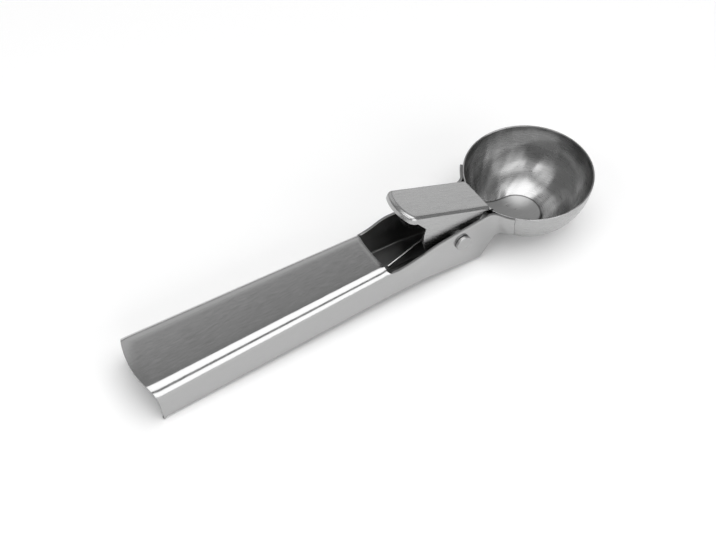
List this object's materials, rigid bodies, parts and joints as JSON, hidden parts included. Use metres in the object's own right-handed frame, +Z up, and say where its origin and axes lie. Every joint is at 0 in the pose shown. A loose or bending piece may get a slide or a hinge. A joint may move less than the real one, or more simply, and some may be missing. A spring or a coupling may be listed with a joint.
{
  "type": "lever ice cream scoop",
  "caption": "Hand scoop with a round bowl, a folded sheet handle and a thumb lever that lifts a dished tongue off the bowl wall.",
  "frame": {"origin": "on the table, midway between the two ends and on the centre plane of the scoop", "axes": "+X from the handle to the bowl, +Y to the left of a user who holds the handle, +Z up off the table"},
  "size_m": [0.1902, 0.05, 0.0377],
  "materials": {
    "handle_steel": "polished, with faint lengthwise brushing",
    "bowl_steel": "satin, spun",
    "rivet_steel": "tumbled bright",
    "lever_steel": "fine lengthwise brushing",
    "spring_wire": "drawn wire"
  },
  "bodies": {
    "handle": {"handle_body": "handle_steel", "bowl": "bowl_steel", "pivot_rivet": "rivet_steel", "washer_left": "rivet_steel", "washer_right": "rivet_steel", "return_spring": "spring_wire"},
    "lever": {"thumb_lever": "lever_steel", "ejector_tongue": "bowl_steel", "spacer_bush": "rivet_steel"}
  },
  "joints": [
    {"name": "lever_pivot", "type": "hinge", "parent": "handle", "child": "lever", "pos_m": [0.03265, 0, 0.01587], "axis": [0, -1, 0], "range_deg": [0, 32], "stiffness_Nm_per_rad": 0.4, "springref_deg": -20.05, "deforming": ["return_spring"]}
  ]
}
